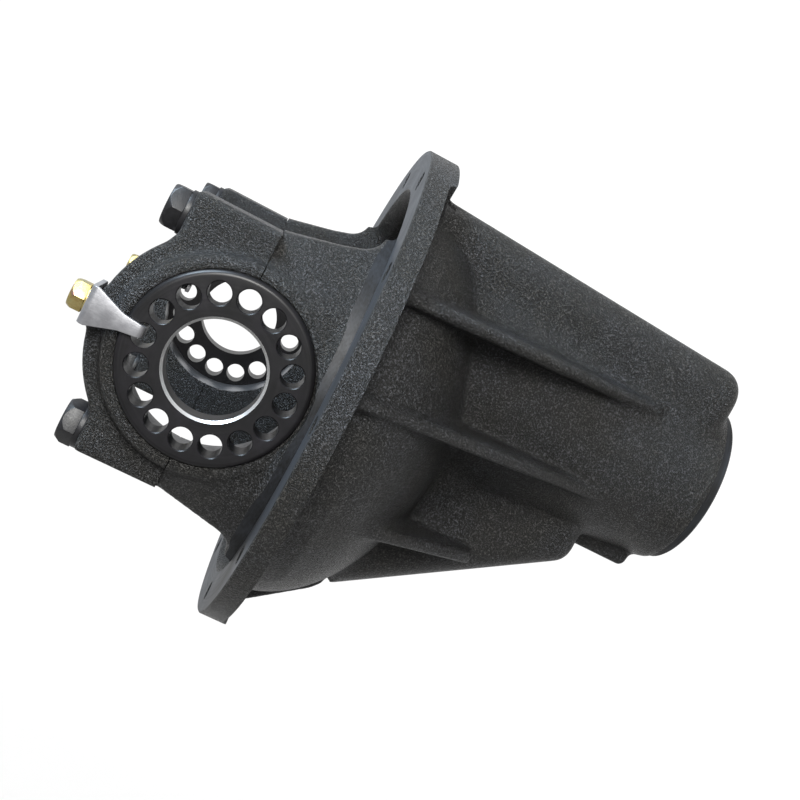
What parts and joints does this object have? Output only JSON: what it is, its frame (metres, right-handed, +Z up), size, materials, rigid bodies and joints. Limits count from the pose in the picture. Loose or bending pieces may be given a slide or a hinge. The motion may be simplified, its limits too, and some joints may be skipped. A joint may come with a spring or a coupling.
{
  "type": "differential carrier assembly",
  "caption": "Cast-iron differential carrier with a round mounting flange, ribbed pinion nose, bolted side-bearing caps, perforated adjusting rings and bent locks.",
  "frame": {"origin": "centre of the stud circle on the flange's gasket face", "axes": "+X along the pinion axis towards the nose, Y along the axle axis with left at +Y, +Z up, with the pinion axis above the axle axis"},
  "size_m": [0.3262, 0.265, 0.265],
  "materials": {
    "cast_iron": "dark sand-cast skin, semi-gloss",
    "adjuster_steel": "black oxide, satin",
    "lock_steel": "bare rolled sheet, satin",
    "zinc_steel": "yellow zinc",
    "bolt_steel": "black phosphate"
  },
  "bodies": {
    "carrier": {"carrier_housing": "cast_iron", "left_bearing_cap": "cast_iron", "right_bearing_cap": "cast_iron", "left_lock_plate": "lock_steel", "right_lock_plate": "lock_steel"},
    "left_adjuster": {"left_adjuster": "adjuster_steel"},
    "left_upper_cap_washer": {"left_upper_cap_washer": "bolt_steel"},
    "left_upper_cap_bolt": {"left_upper_cap_bolt": "bolt_steel"},
    "left_lower_cap_washer": {"left_lower_cap_washer": "bolt_steel"},
    "left_lower_cap_bolt": {"left_lower_cap_bolt": "bolt_steel"},
    "left_lock_spring_washer": {"left_lock_spring_washer": "zinc_steel"},
    "left_lock_bolt": {"left_lock_bolt": "zinc_steel"},
    "right_adjuster": {"right_adjuster": "adjuster_steel"},
    "right_upper_cap_washer": {"right_upper_cap_washer": "bolt_steel"},
    "right_upper_cap_bolt": {"right_upper_cap_bolt": "bolt_steel"},
    "right_lower_cap_washer": {"right_lower_cap_washer": "bolt_steel"},
    "right_lower_cap_bolt": {"right_lower_cap_bolt": "bolt_steel"},
    "right_lock_spring_washer": {"right_lock_spring_washer": "zinc_steel"},
    "right_lock_bolt": {"right_lock_bolt": "zinc_steel"}
  },
  "joints": [
    {"name": "left_adjuster_turn", "type": "hinge", "parent": "carrier", "child": "left_adjuster", "pos_m": [-0.047, 0, 0], "axis": [0, 1, 0], "range_deg": [-1.1, 5.1]},
    {"name": "left_upper_cap_bolt_travel", "type": "slide", "parent": "carrier", "child": "left_upper_cap_washer", "axis": [-1, 0, 0], "range_m": [0, 0.025]},
    {"name": "left_upper_cap_bolt_turn", "type": "hinge", "parent": "left_upper_cap_washer", "child": "left_upper_cap_bolt", "pos_m": [-0.09, 0.082, 0.0535], "axis": [-1, 0, 0], "range_deg": [0, 7200]},
    {"name": "left_lower_cap_bolt_travel", "type": "slide", "parent": "carrier", "child": "left_lower_cap_washer", "axis": [-1, 0, 0], "range_m": [0, 0.025]},
    {"name": "left_lower_cap_bolt_turn", "type": "hinge", "parent": "left_lower_cap_washer", "child": "left_lower_cap_bolt", "pos_m": [-0.09, 0.082, -0.0535], "axis": [-1, 0, 0], "range_deg": [0, 7200]},
    {"name": "left_lock_bolt_travel", "type": "slide", "parent": "carrier", "child": "left_lock_spring_washer", "axis": [-1, 0, 0], "range_m": [0, 0.015]},
    {"name": "left_lock_bolt_turn", "type": "hinge", "parent": "left_lock_spring_washer", "child": "left_lock_bolt", "pos_m": [-0.09, 0.084, 0], "axis": [-1, 0, 0], "range_deg": [0, 4320]},
    {"name": "right_adjuster_turn", "type": "hinge", "parent": "carrier", "child": "right_adjuster", "pos_m": [-0.047, 0, 0], "axis": [0, 1, 0], "range_deg": [-1.1, 5.1]},
    {"name": "right_upper_cap_bolt_travel", "type": "slide", "parent": "carrier", "child": "right_upper_cap_washer", "axis": [-1, 0, 0], "range_m": [0, 0.025]},
    {"name": "right_upper_cap_bolt_turn", "type": "hinge", "parent": "right_upper_cap_washer", "child": "right_upper_cap_bolt", "pos_m": [-0.09, -0.082, 0.0535], "axis": [-1, 0, 0], "range_deg": [0, 7200]},
    {"name": "right_lower_cap_bolt_travel", "type": "slide", "parent": "carrier", "child": "right_lower_cap_washer", "axis": [-1, 0, 0], "range_m": [0, 0.025]},
    {"name": "right_lower_cap_bolt_turn", "type": "hinge", "parent": "right_lower_cap_washer", "child": "right_lower_cap_bolt", "pos_m": [-0.09, -0.082, -0.0535], "axis": [-1, 0, 0], "range_deg": [0, 7200]},
    {"name": "right_lock_bolt_travel", "type": "slide", "parent": "carrier", "child": "right_lock_spring_washer", "axis": [-1, 0, 0], "range_m": [0, 0.015]},
    {"name": "right_lock_bolt_turn", "type": "hinge", "parent": "right_lock_spring_washer", "child": "right_lock_bolt", "pos_m": [-0.09, -0.084, 0], "axis": [-1, 0, 0], "range_deg": [0, 4320]}
  ],
  "couplings": [
    {"joint": "left_upper_cap_bolt_turn", "follows": "left_upper_cap_bolt_travel", "rad_per_m": 5026.5},
    {"joint": "left_lower_cap_bolt_turn", "follows": "left_lower_cap_bolt_travel", "rad_per_m": 5026.5},
    {"joint": "left_lock_bolt_turn", "follows": "left_lock_bolt_travel", "rad_per_m": 5026.5},
    {"joint": "right_upper_cap_bolt_turn", "follows": "right_upper_cap_bolt_travel", "rad_per_m": 5026.5},
    {"joint": "right_lower_cap_bolt_turn", "follows": "right_lower_cap_bolt_travel", "rad_per_m": 5026.5},
    {"joint": "right_lock_bolt_turn", "follows": "right_lock_bolt_travel", "rad_per_m": 5026.5}
  ]
}
